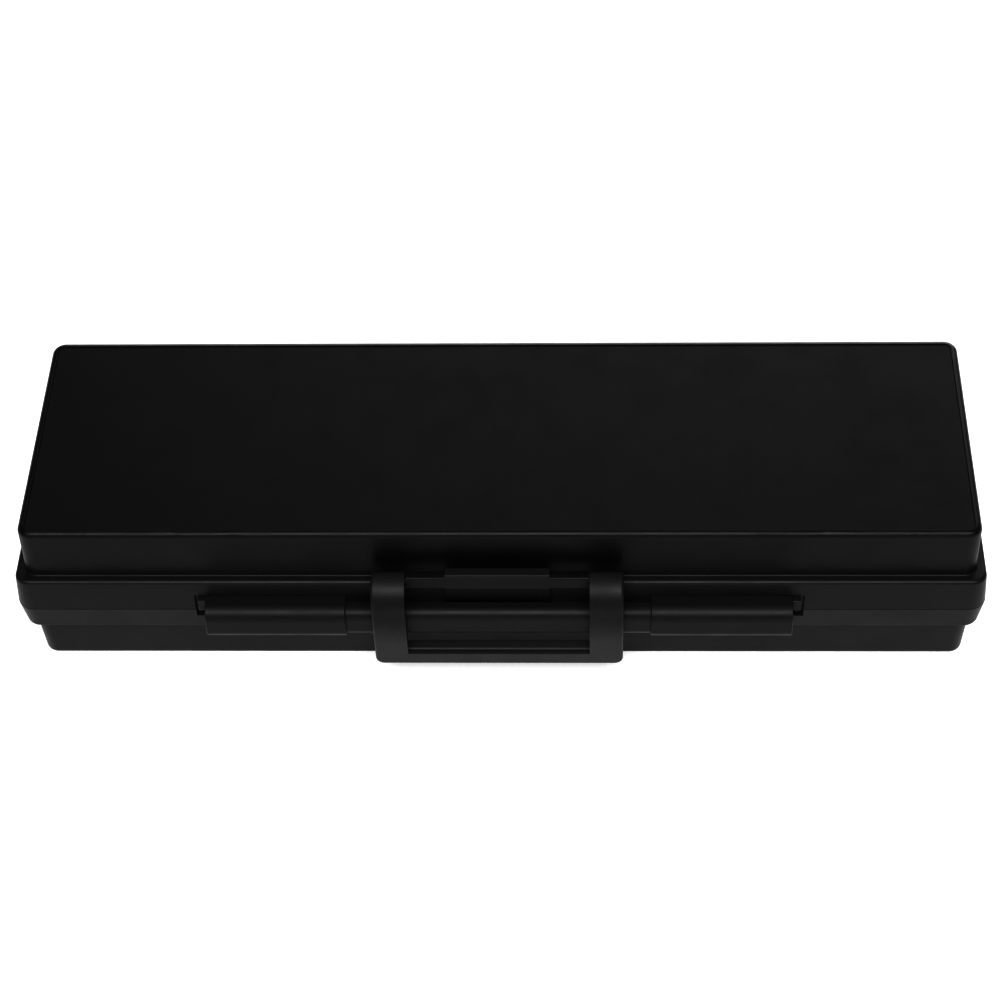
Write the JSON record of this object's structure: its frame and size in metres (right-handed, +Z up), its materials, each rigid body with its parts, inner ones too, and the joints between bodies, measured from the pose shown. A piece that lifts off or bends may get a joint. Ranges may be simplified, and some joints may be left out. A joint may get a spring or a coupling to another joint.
{
  "type": "component storage box",
  "caption": "Long low storage box for small components: moulded base, hinged lid, sliding latches on a front rail, swinging carry handle, dividers and a lift-out tray.",
  "frame": {"origin": "middle of the flat underside that the box stands on", "axes": "+X along the length, to the right as seen from the front; the front with the handle and the latches faces -Y; +Z up"},
  "size_m": [0.5, 0.1802, 0.095],
  "materials": {
    "case_plastic": "black moulded plastic with a fine grain and a low sheen",
    "panel_plastic": "black plastic sheet with a fine grain",
    "latch_plastic": "black moulded plastic, smooth with a soft sheen",
    "handle_plastic": "black moulded plastic, a little lighter and more matt, with a coarser grain",
    "divider_plastic": "dark grey plastic sheet",
    "tray_plastic": "dark grey moulded plastic",
    "steel": "bright zinc plated",
    "foam": "dark grey open-cell foam"
  },
  "bodies": {
    "base": {"base_shell": "case_plastic", "front_rail": "latch_plastic", "rail_screws": "steel", "handle_bracket": "handle_plastic", "bracket_screws": "steel", "handle_pins": "steel", "hinge_pins": "steel", "long_divider": "divider_plastic", "cross_divider_front_left": "divider_plastic", "cross_divider_front_middle": "divider_plastic", "cross_divider_front_right": "divider_plastic", "cross_divider_rear_left": "divider_plastic", "cross_divider_rear_middle": "divider_plastic", "cross_divider_rear_right": "divider_plastic", "parts_tray": "tray_plastic"},
    "lid": {"lid_shell": "case_plastic", "lid_panel": "panel_plastic", "lid_foam_pad": "foam"},
    "handle": {"handle_bail": "handle_plastic"},
    "latch_left": {"latch_left": "latch_plastic"},
    "latch_right": {"latch_right": "latch_plastic"}
  },
  "joints": [
    {"name": "lid_hinge", "type": "hinge", "parent": "base", "child": "lid", "pos_m": [0, 0.0814, 0.0445], "axis": [-1, 0, 0], "range_deg": [0, 102]},
    {"name": "handle_swing", "type": "hinge", "parent": "base", "child": "handle", "pos_m": [0, -0.0796, 0.0706], "axis": [-1, 0, 0], "range_deg": [0, 110]},
    {"name": "latch_left_slide", "type": "slide", "parent": "base", "child": "latch_left", "axis": [1, 0, 0], "range_m": [0, 0.012]},
    {"name": "latch_right_slide", "type": "slide", "parent": "base", "child": "latch_right", "axis": [-1, 0, 0], "range_m": [0, 0.012]}
  ]
}
